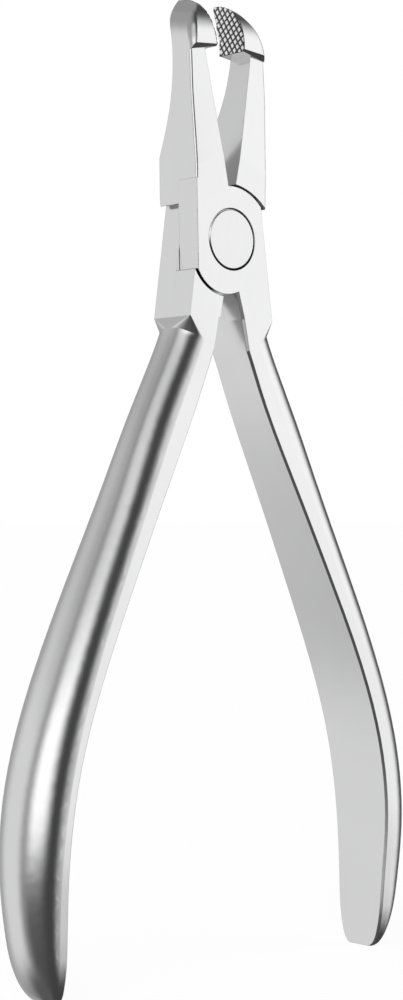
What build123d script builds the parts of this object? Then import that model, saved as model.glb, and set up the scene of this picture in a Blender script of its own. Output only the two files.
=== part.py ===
# Orthodontic gripping pliers, closed by one pivot, drawn as they stand slightly open.
# Lengths in millimetres. X to the right, Y to the back, Z up along the tool.
# The outlines are written from the middle of the pivot, and everything is raised
# to stand on the handle ends. The right handle belongs to the front half.
import os
from math import atan2, cos, degrees, hypot, radians, sin
from build123d import *

os.makedirs("parts", exist_ok=True)

# Overall driving sizes
THICK = 7.46
HALF_T = THICK / 2
OPEN_EACH = 5.2
LAP_GAP = 0.06
PIVOT_HIGH = 100.0

# Pivot sizes and fits
RUN_FIT = 0.03
SEAT_FIT = 0.02
HEAD_R = 4.21
HEAD_BEVEL = 0.27
RING_GAP = 0.06
HEAD_DEEP = 1.75
SHANK_R = 2.4
NUT_R = 2.9
NUT_DEEP = 1.3
THREAD_R = 1.25
SLOT_WIDE = 0.7
SLOT_DEEP = 0.6
THREAD_LONG = 3.6

# Jaw and gripping tip sizes
BOSS_R = 11.3
FACE_SLOPE = 0.0589
JAW_TOP = 26.2
TIP_FRONT = 3.5
TIP_BACK = 3.4
TIP_TOP = 33.48
SHEAR = (0, 1, 0.22)
BACK_SLANT = 0.16
FRONT_EDGE_R = 0.3
GROOVE_DEEP = 0.14
GROOVE_HALF = 0.14
PITCH_A = 0.91
PITCH_B = 0.71
ANGLE_A = -38.0
ANGLE_B = 56.0

# Handle sizes
CHAMFER = 0.3
OUTER_FLAT = 0.5
ROOT_Z = -10.8
ROOT_IN = 2.1
ROOT_OUT = 7.645
EDGE_R = 0.15
END_Z = -100.0


# Rounding of the tip's front outer corner: height, middle x, middle y, radius and lean of the side.
# It is longer along the outer side than along the front, by this factor.
CORNER_LONG = 1.8
CORNER_OUT = 0.012
CORNER_ROWS = [
    (25.0, 4.21, -3.16, 0.35, 1),
    (26.4, 3.71, -2.77, 0.75, 1),
    (27.3, 3.41, -2.49, 0.95, 2),
    (28.3, 3.06, -2.12, 1.1, 4),
    (29.3, 2.67, -1.75, 1.1, 7),
    (30.3, 2.14, -1.37, 0.95, 11),
    (31.2, 1.49, -0.92, 0.75, 15),
    (32.1, 0.72, -0.27, 0.5, 18),
    (32.8, 0.17, 0.8, 0.35, 19),
]


def face_xz(edges):
    return make_face(Wire(edges))


def prism_y(face, y_front, y_back):
    return extrude(Pos(0, y_back, 0) * face, amount=y_back - y_front, dir=(0, -1, 0))


def prism_x(face, x_left, x_right):
    return extrude(Pos(x_left, 0, 0) * face, amount=x_right - x_left, dir=(1, 0, 0))


def p_xz(points):
    return [Vector(x, 0, z) for x, z in points]


def p_yz(points):
    return [Vector(0, y, z) for y, z in points]


def outer_side():
    curve = Spline(
        *p_xz(
            [
                (5.98, 5.6),
                (5.62, 10.5),
                (5.27, 16.5),
                (4.98, 21.5),
                (4.52, 26.0),
                (4.32, 27.95),
                (3.88, 29.45),
                (2.42, 31.25),
                (0.0, 32.95),
            ]
        )
    )
    rim = [curve]
    rim += Polyline(curve @ 1, *p_xz([(-1, 33), (-1, 3), (5.98, 3)]), curve @ 0).edges()
    return extrude(face_xz(rim), amount=12, dir=SHEAR, both=True)


def back_side():
    curve = Spline(
        *p_yz(
            [
                (2.8, 33.6),
                (2.3, 32.0),
                (1.65, 30.2),
                (0.95, 28.1),
                (0.7, 25.5),
                (0.7, 23.0),
                (1.15, 19.5),
                (2.45, 15.3),
                (5.2, 8.0),
            ]
        )
    )
    rim = [curve]
    rim += Polyline(curve @ 1, *p_yz([(5.2, 0), (-6, 0), (-6, 34), (2.8, 34)]), curve @ 0).edges()
    return extrude(Pos(4.7, 0, 0) * face_xz(rim), amount=8, dir=(1, -BACK_SLANT, 0), both=True)


def jaw_body():
    inner = Spline(*p_xz([(0.03, 7.5), (1.0, 16.5), (1.92, JAW_TOP)]))
    rim = [inner]
    rim += Polyline(inner @ 1, *p_xz([(8, JAW_TOP), (8, 3), (0.03, 3)]), inner @ 0).edges()
    plan = prism_y(face_xz(rim), -HALF_T, HALF_T)
    drop = FACE_SLOPE * (45 - BOSS_R)
    wedge = Polyline(
        Vector(BOSS_R, -HALF_T, 0),
        Vector(45, -HALF_T + drop, 0),
        Vector(45, -HALF_T - 1, 0),
        Vector(BOSS_R, -HALF_T - 1, 0),
        close=True,
    )
    cone = revolve(make_face(wedge), Axis.Y, 360)
    return plan - cone


def tip_block():
    front = ThreePointArc(*p_yz([(-TIP_FRONT, 26.5), (-2.3, 30.3), (-0.7, 32.15)]))
    crown = Spline(*p_yz([(-0.7, 32.15), (0.9, 33.0), (2.2, 33.4), (TIP_BACK, TIP_TOP), (4.6, 33.45)]))
    rim = [front, crown]
    rim += Polyline(crown @ 1, *p_yz([(4.6, 25.2), (-2.87, 25.2), (-2.87, 25.6)]), front @ 0).edges()
    side = prism_x(face_xz(rim), 0, 8)
    under = Polyline(*p_xz([(-1, 26.3), (6, 25.6), (6, 36), (-1, 36)]), close=True)
    block = side & prism_y(make_face(under), -6, 6)
    return block - loft([corner_row(*row) for row in CORNER_ROWS])


def corner_row(z, x, y, radius, lean):
    long = CORNER_LONG * radius
    over = radius * cos(radians(lean))
    along = long * sin(radians(lean))
    # moved out until the oval touches the leaning side again
    gain = radius - hypot(over, along) + (long - radius) * sin(radians(lean))
    middle = (x + gain / cos(radians(lean)) + CORNER_OUT, y - radius + long)
    turn = 90 - degrees(atan2(along, over))
    arc = EllipticalCenterArc(middle, radius, long, start_angle=270, arc_size=turn)
    rim = [arc]
    rim += Polyline(arc @ 1, (x + 8, (arc @ 1).Y), (x + 8, y - 8), (x, y - 8), arc @ 0).edges()
    return Pos(0, 0, z) * make_face(Wire(rim))


def grip_grooves():
    cuts = []
    vee = Polyline((-0.3, -GROOVE_HALF), (0.02, -GROOVE_HALF), (GROOVE_DEEP, 0), (0.02, GROOVE_HALF),
                   (-0.3, GROOVE_HALF), close=True)
    profile = make_face(vee)
    for angle, pitch in ((ANGLE_A, PITCH_A), (ANGLE_B, PITCH_B)):
        for i in range(-7, 8):
            bar = extrude(profile, amount=8, both=True)
            bar = Pos(0, (i + 0.5) * pitch, 0) * bar
            bar = Rot(angle - 90, 0, 0) * bar
            cuts.append(Pos(0, -1.12, 28.5) * bar)
    return cuts


def nearest_edge(shape, x, y, z):
    return min(shape.edges(), key=lambda edge: edge.distance_to(Vector(x, y, z)))


def right_jaw():
    body = jaw_body() & outer_side()
    body = fillet(nearest_edge(body, 5.19, -3.29, 18.0), FRONT_EDGE_R)
    jaw = back_side() & (body + (tip_block() & outer_side()))
    for groove in grip_grooves():
        jaw = jaw - groove
    return Rot(0, OPEN_EACH, 0) * jaw


def handle_section(z, x_in, x_out, depth, flat, lean=0):
    wide = (x_out - x_in) / cos(radians(lean))
    a = wide - flat / cos(radians(lean))
    b = depth - OUTER_FLAT
    low = EllipticalCenterArc((-a, -OUTER_FLAT), a, b, start_angle=270, arc_size=90)
    high = EllipticalCenterArc((-a, OUTER_FLAT), a, b, start_angle=0, arc_size=90)
    rim = [Line((-wide + CHAMFER, -depth), low @ 0), low, Line(low @ 1, high @ 0), high]
    rim.append(Line(high @ 1, (-wide + CHAMFER, depth)))
    rim += Polyline(
        (-wide + CHAMFER, depth),
        (-wide, depth - CHAMFER),
        (-wide, -depth + CHAMFER),
        (-wide + CHAMFER, -depth),
    ).edges()
    return Pos(x_out, 0, z) * Rot(0, -lean, 0) * make_face(Wire(rim))


def handle():
    rows = [
        (-12.33, 3.0, 8.32, 3.73, 2.13, 28),
        (-17.0, 4.41, 10.45, 3.75, 2.44, 14),
        (-24.0, 6.8, 14.0, 3.86, 2.95),
        (-34.0, 11.75, 18.55, 4.25, 2.6),
        (-46.0, 17.65, 24.2, 4.79, 2.1),
        (-58.0, 23.2, 29.5, 5.25, 1.7),
        (-70.0, 27.33, 33.55, 5.43, 1.3),
        (-82.0, 29.0, 35.05, 5.15, 1.3),
        (-91.0, 28.85, 34.25, 4.5, 1.4),
        (-95.0, 28.75, 33.25, 4.2, 1.35),
        (-97.6, 28.7, 32.0, 3.72, 1.2),
        (-99.0, 28.65, 30.95, 3.22, 1.0),
        (-99.7, 28.62, 30.2, 2.68, 0.8),
        (END_Z, 28.6, 29.8, 2.15, 0.6),
    ]
    grip = loft([handle_section(*row) for row in rows])
    neck = loft([root_section(), handle_section(*rows[0])], ruled=True)
    return grip + neck


def root_section():
    tiny = 0.12
    low = EllipticalCenterArc((ROOT_OUT - tiny, -HALF_T + tiny), tiny, tiny, start_angle=270, arc_size=90)
    high = EllipticalCenterArc((ROOT_OUT - tiny, HALF_T - tiny), tiny, tiny, start_angle=0, arc_size=90)
    rim = [Line((ROOT_IN + CHAMFER, -HALF_T), low @ 0), low, Line(low @ 1, high @ 0), high]
    rim.append(Line(high @ 1, (ROOT_IN + CHAMFER, HALF_T)))
    rim += Polyline(
        (ROOT_IN + CHAMFER, HALF_T),
        (ROOT_IN, HALF_T - CHAMFER),
        (ROOT_IN, -HALF_T + CHAMFER),
        (ROOT_IN + CHAMFER, -HALF_T),
    ).edges()
    return Pos(0, 0, ROOT_Z) * make_face(Wire(rim))


def plate_outline():
    low = ThreePointArc(*p_xz([(-6.2, -4.39), (-3.1, -7.15), (1.0, -7.15)]))
    top = ThreePointArc(*p_xz([(5.5, 4.72), (2.9, 6.62), (-0.68, 7.22)]))
    rim = [low, top]
    rim += Polyline(low @ 1, *p_xz([(ROOT_IN, ROOT_Z), (ROOT_OUT, ROOT_Z)]), top @ 0).edges()
    rim += Polyline(top @ 1, *p_xz([(-0.74, 7.8), (-6.522, 7.8), (-6.463, 5.04)]), low @ 0).edges()
    return face_xz(rim)


def root_block_outline():
    top = ThreePointArc(*p_xz([(6.78, -4.45), (3.93, -7.2), (1.55, -7.85)]))
    rim = [top]
    rim += Polyline(top @ 1, *p_xz([(ROOT_IN, ROOT_Z), (ROOT_OUT, ROOT_Z)]), top @ 0).edges()
    return face_xz(rim)


def lap_space():
    arc = ThreePointArc(*p_xz([(-7.2, 3.7), (-3.7, 6.62), (-0.71, 7.55)]))
    rim = [arc]
    rim += Polyline(arc @ 1, *p_xz([(2.0, 7.55), (2.0, -9), (-9.0, -9), (-9.0, 3.7)]), arc @ 0).edges()
    return prism_y(face_xz(rim), -LAP_GAP / 2, HALF_T + 1)


def plate_with_handle():
    plate = prism_y(plate_outline(), -HALF_T, -LAP_GAP / 2)
    plate = fillet(nearest_edge(plate, 6.6, -HALF_T, -3.0), EDGE_R)
    jaw_side = [nearest_edge(plate, -6.48, -HALF_T, 6.5), nearest_edge(plate, -6.3, -HALF_T, 0.0)]
    plate = fillet(jaw_side, EDGE_R)
    plate = chamfer(nearest_edge(plate, 1.6, -HALF_T, -9.0), CHAMFER)
    block = prism_y(root_block_outline(), -LAP_GAP / 2, HALF_T)
    return plate + block + handle()


def front_half():
    jaw = mirror(right_jaw(), about=Plane.YZ) - lap_space()
    body = plate_with_handle() + jaw
    bore = Rot(90, 0, 0) * Cylinder(SHANK_R + RUN_FIT, 20)
    sink = Pos(0, -HALF_T, 0) * Rot(90, 0, 0) * Cylinder(HEAD_R + RING_GAP, 2 * HEAD_DEEP)
    return body - bore - sink


def back_half():
    jaw = right_jaw() - Rot(0, 0, 180) * lap_space()
    body = Rot(0, 0, 180) * plate_with_handle() + jaw
    bore = Rot(90, 0, 0) * Cylinder(SHANK_R, 20)
    sink = Pos(0, HALF_T, 0) * Rot(90, 0, 0) * Cylinder(NUT_R + SEAT_FIT, 2 * NUT_DEEP)
    return body - bore - sink


def pivot_pin():
    head = Pos(0, -HALF_T, 0) * turned(HEAD_R, HEAD_DEEP - RUN_FIT)
    head = chamfer(nearest_edge(head, -HEAD_R, -HALF_T, 0.5), HEAD_BEVEL)
    shank_front = -HALF_T + HEAD_DEEP - RUN_FIT
    shank_back = HALF_T - NUT_DEEP - 0.1
    shank = Pos(0, shank_front, 0) * turned(SHANK_R, shank_back - shank_front)
    thread = Pos(0, shank_back - THREAD_LONG, 0) * turned(THREAD_R, THREAD_LONG)
    return head + shank - thread


def rear_screw():
    head_front = HALF_T - NUT_DEEP
    head = Pos(0, head_front, 0) * turned(NUT_R, NUT_DEEP)
    stem_long = THREAD_LONG - 0.4
    stem = Pos(0, head_front - stem_long, 0) * turned(THREAD_R - SEAT_FIT, stem_long)
    slot = Pos(0, HALF_T, 0) * Box(2 * NUT_R + 1, 2 * SLOT_DEEP, SLOT_WIDE)
    return head + stem - Rot(0, 30, 0) * slot


def turned(radius, long):
    return extrude(Plane.XZ * Circle(radius), amount=-long)


raised = Pos(0, 0, PIVOT_HIGH)
export_step(raised * front_half(), "parts/front_half.step")
export_step(raised * back_half(), "parts/back_half.step")
export_step(raised * pivot_pin(), "parts/pivot_pin.step")
export_step(raised * rear_screw(), "parts/rear_screw.step")
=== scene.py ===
import bpy
from mathutils import Matrix, Vector

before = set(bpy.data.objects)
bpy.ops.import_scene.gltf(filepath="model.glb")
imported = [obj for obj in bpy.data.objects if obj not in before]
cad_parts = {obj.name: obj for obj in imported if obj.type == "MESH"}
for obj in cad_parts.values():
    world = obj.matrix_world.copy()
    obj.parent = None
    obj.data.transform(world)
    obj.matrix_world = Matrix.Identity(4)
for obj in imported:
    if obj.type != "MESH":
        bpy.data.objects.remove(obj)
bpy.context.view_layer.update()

# Places on the tool, in metres
PIVOT_HIGH = 0.1
TIP_FOOT = (0.1255, 0.1258)
NECK_TOP = (0.0865, 0.0875)
HEAD_BEVEL = (0.00392, 0.00396)

# Cosine and sine of the 5.2 degrees that each gripping face leans
LEAN_COS = 0.99588
LEAN_SIN = 0.09063

# How wide the broken edges are, and how far the handles' polish evens out the surface
BROKEN_EDGE = 0.00012
POLISH_REACH = 0.001

# Steel colours
STEEL = (0.72, 0.72, 0.725)
SCREW_STEEL = (0.68, 0.68, 0.685)

# Studio
WHITE = (1.0, 1.0, 1.0, 1.0)
DEGREES = 57.2958
LIGHT_FADE = 12.0
FLOOR_SIZE = 40.0
FLOOR_GLOW = 0.9
FLOOR_GREY = (0.2, 0.2, 0.2, 1.0)

# The photograph's camera
CAMERA_AT = (-0.202404, -0.222761, 0.061902)
CAMERA_LOOK = (0.668335, 0.743802, 0.0087265)
LENS = 78.94
FILM_HIGH = 36.0


class Socket:
    """A node's output that can be used in sums."""

    def __init__(self, tree, out):
        self.tree = tree
        self.out = out

    def maths(self, operation, *values):
        node = self.tree.nodes.new("ShaderNodeMath")
        node.operation = operation
        for place, value in zip(node.inputs, values):
            join(self.tree, value, place)
        return Socket(self.tree, node.outputs[0])

    def __add__(self, other):
        return self.maths("ADD", self, other)

    def __radd__(self, other):
        return self.maths("ADD", other, self)

    def __sub__(self, other):
        return self.maths("SUBTRACT", self, other)

    def __rsub__(self, other):
        return self.maths("SUBTRACT", other, self)

    def __mul__(self, other):
        return self.maths("MULTIPLY", self, other)

    def __rmul__(self, other):
        return self.maths("MULTIPLY", other, self)

    def __truediv__(self, other):
        return self.maths("DIVIDE", self, other)

    def __pow__(self, other):
        return self.maths("POWER", self, other)

    def __neg__(self):
        return self.maths("MULTIPLY", self, -1.0)

    def __abs__(self):
        return self.maths("ABSOLUTE", self)

    def clip(self):
        return self.maths("MINIMUM", self.maths("MAXIMUM", self, 0.0), 1.0)

    def rise(self, low, high):
        """0 below low and 1 above high, with a soft step between."""
        t = ((self - low) / (high - low)).clip()
        return t * t * (3.0 - 2.0 * t)


def join(tree, value, place):
    if isinstance(value, Socket):
        tree.links.new(value.out, place)
    else:
        place.default_value = value


class Tree:
    """The node tree of one material or of the world."""

    def __init__(self, owner):
        owner.use_nodes = True
        self.tree = owner.node_tree
        self.tree.nodes.clear()

    def node(self, kind, settings=None, inputs=None, out=0):
        new = self.tree.nodes.new(kind)
        for name, value in (settings or {}).items():
            setattr(new, name, value)
        for name, value in (inputs or {}).items():
            join(self.tree, value, new.inputs[name])
        return Socket(self.tree, new.outputs[out]) if len(new.outputs) else None

    def split(self, vector):
        node = self.tree.nodes.new("ShaderNodeSeparateXYZ")
        join(self.tree, vector, node.inputs[0])
        return [Socket(self.tree, out) for out in node.outputs]

    def place(self):
        return self.node("ShaderNodeTexCoord", out="Object")

    def stretched(self, sizes):
        return self.node("ShaderNodeMapping", inputs={"Vector": self.place(), "Scale": sizes})

    def noise(self, vector, scale, detail=3.0, rough=0.5):
        inputs = {"Vector": vector, "Scale": scale, "Detail": detail, "Roughness": rough}
        return self.node("ShaderNodeTexNoise", inputs=inputs)


def steel(name, tint, gloss, wave, line, painted_rim_shade=False):
    """Stainless steel: fine lengthwise polishing lines, faint waves, painted shade in the grip
    grooves and painted highlights on their lands.
    """
    material = bpy.data.materials.new(name)
    t = Tree(material)
    x, y, z = t.split(t.place())
    depth = abs(x) * LEAN_COS - (z - PIVOT_HIGH) * LEAN_SIN
    near_tip = z.rise(*TIP_FOOT)
    groove = depth.rise(0.00002, 0.00009) * (1.0 - depth.rise(0.00018, 0.00020)) * near_tip
    land_highlight = (1.0 - depth.rise(0.000002, 0.000006)) * depth.rise(-0.00005, -0.00002) * near_tip
    lines = t.noise(t.stretched((9000.0, 9000.0, 260.0)), 1.0, 2.0, 0.6)
    cloud = t.noise(t.place(), 90.0, 3.0, 0.55)
    ripple = t.noise(t.stretched((420.0, 420.0, 60.0)), 1.0, 1.0, 0.4)
    # painted shade darkens the grip grooves and a painted highlight lightens their lands; cloud and
    # lines are the steel's own uneven tone
    shade = 1.0 - 0.04 * cloud - 0.03 * lines - 0.9 * groove + 0.2 * land_highlight
    if painted_rim_shade:
        # painted shade: the broken edge of the pin's head is darkened in its lower half, standing in
        # for the shade in the gap round the head
        low = PIVOT_HIGH - z
        edge = ((x * x + low * low) ** 0.5).rise(*HEAD_BEVEL)
        shade = shade * (1.0 - 0.93 * edge * low.rise(-0.0008, 0.0012))
    colour = t.node(
        "ShaderNodeCombineColor",
        inputs={"Red": tint[0] * shade, "Green": tint[1] * shade, "Blue": tint[2] * shade},
    )
    rough = gloss + 0.05 * cloud + 0.05 * lines + 0.3 * groove
    height = ripple * wave + lines * line
    # the rounded outside of a handle is polished smooth, and every other edge is just broken
    out_x = t.split(t.node("ShaderNodeTexCoord", out="Normal"))[0]
    side = x.maths("SIGN", x)
    rounded = (out_x * side).rise(0.1, 0.3) * (1.0 - z.rise(*NECK_TOP))
    broken = t.node("ShaderNodeBevel", {"samples": 6}, {"Radius": BROKEN_EDGE})
    smooth = t.node("ShaderNodeBevel", {"samples": 12}, {"Radius": POLISH_REACH})
    normal = t.node(
        "ShaderNodeMix",
        {"data_type": "VECTOR"},
        {"Factor": rounded, 4: broken, 5: smooth},
        out=1,
    )
    bump = t.node(
        "ShaderNodeBump",
        inputs={"Height": height, "Strength": 1.0, "Distance": 1.0, "Normal": normal},
    )
    shader = t.node(
        "ShaderNodeBsdfPrincipled",
        inputs={"Base Color": colour, "Metallic": 1.0, "Roughness": rough, "Normal": bump},
    )
    t.node("ShaderNodeOutputMaterial", inputs={"Surface": shader})
    return material


def dress():
    finishes = {
        "front_half": steel("polished_steel_front", STEEL, gloss=0.12, wave=6e-8, line=1e-8),
        "back_half": steel("polished_steel_back", STEEL, gloss=0.12, wave=6e-8, line=1e-8),
        "pivot_pin": steel("ground_steel_pin", STEEL, gloss=0.15, wave=3e-8, line=1e-8, painted_rim_shade=True),
        "rear_screw": steel("satin_steel_screw", SCREW_STEEL, gloss=0.22, wave=3e-8, line=3e-8),
    }
    for node, material in finishes.items():
        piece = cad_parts[node]
        for place in piece.material_slots:
            place.material = material


def studio_walls():
    """Soft lights and dark gaps round the tool. The camera sees plain white."""
    world = bpy.data.worlds.new("studio")
    bpy.context.scene.world = world
    t = Tree(world)
    x, y, z = t.split(t.node("ShaderNodeTexCoord", out="Generated"))
    # degrees round from the front towards the left, and degrees up
    around = x.maths("ARCTAN2", -x, -y) * DEGREES
    up = z.maths("ARCSINE", z) * DEGREES
    round_back = around + 360.0 * (1.0 - around.rise(-100.0, -99.0))

    def soft_light(angle, left, right, low, high, level, edge):
        wide = angle.rise(left - edge, left + edge) * (1.0 - angle.rise(right - edge, right + edge))
        rising = up.rise(low - LIGHT_FADE, low + LIGHT_FADE)
        tall = rising * (1.0 - up.rise(high - LIGHT_FADE, high + LIGHT_FADE))
        return level * wide * tall

    # large light at the front left, a little brighter just above the middle
    level = soft_light(around, left=-84.0, right=-23.0, low=-20.0, high=45.0, level=1.13, edge=18.0)
    brighter = around.rise(-75.0, -60.0) * (1.0 - around.rise(-43.5, -37.0))
    level = level + 0.1 * up.rise(0.5, 5.0) * brighter
    # bright lamp at the left, leaning, with a wide dimmer frame
    leaning = around - 0.5 * up.maths("MINIMUM", up - 12.0, 0.0)
    lamp = soft_light(leaning, left=30.0, right=82.0, low=-5.0, high=32.0, level=0.72, edge=14.0)
    border = soft_light(around, left=29.0, right=84.0, low=-12.0, high=66.0, level=0.68, edge=18.0)
    level = level + lamp + border
    # grey wall at the back left, dimmer towards its edges and its top
    middle = soft_light(around, left=106.0, right=161.0, low=-36.0, high=28.0, level=0.38, edge=16.0)
    wall = soft_light(round_back, left=92.0, right=236.0, low=-42.0, high=74.0, level=0.4, edge=24.0)
    level = level + middle + wall * (1.0 - 0.22 * up.rise(34.0, 50.0))
    # what is left of the room, a little lighter away from the front
    level = level + 0.07 + 0.06 * around.rise(0.0, 90.0)
    seen = t.node("ShaderNodeLightPath", out="Is Camera Ray")
    level = level * (1.0 - seen) + seen
    glow = t.node("ShaderNodeBackground", inputs={"Color": WHITE, "Strength": level})
    t.node("ShaderNodeOutputWorld", inputs={"Surface": glow})


def white_floor():
    """Plain floor: white to the camera, grey to the tool, and left out of its reflections."""
    bpy.ops.mesh.primitive_plane_add(size=FLOOR_SIZE, location=(0.0, 0.0, 0.0))
    floor = bpy.context.object
    floor.name = "studio_floor"
    material = bpy.data.materials.new("white_floor")
    t = Tree(material)
    seen = t.node("ShaderNodeLightPath", out="Is Camera Ray")
    power = FLOOR_GLOW * seen
    glow = t.node("ShaderNodeEmission", inputs={"Color": WHITE, "Strength": power})
    matt = t.node("ShaderNodeBsdfDiffuse", inputs={"Color": FLOOR_GREY})
    lit = t.tree.nodes.new("ShaderNodeAddShader")
    join(t.tree, glow, lit.inputs[0])
    join(t.tree, matt, lit.inputs[1])
    t.node("ShaderNodeOutputMaterial", inputs={"Surface": Socket(t.tree, lit.outputs[0])})
    floor.visible_glossy = False
    floor.data.materials.append(material)


def photograph_view():
    """The camera that took the photograph, fitted to it."""
    data = bpy.data.cameras.new("photograph")
    data.sensor_fit = "VERTICAL"
    data.sensor_height = FILM_HIGH
    data.lens = LENS
    data.clip_start = 0.01
    data.clip_end = 100.0
    camera = bpy.data.objects.new("photograph", data)
    bpy.context.collection.objects.link(camera)
    turn = Vector(CAMERA_LOOK).to_track_quat("-Z", "Y").to_matrix().to_4x4()
    camera.matrix_world = Matrix.Translation(CAMERA_AT) @ turn
    bpy.context.scene.camera = camera


dress()
studio_walls()
white_floor()
photograph_view()
bpy.context.scene.view_settings.view_transform = "Standard"
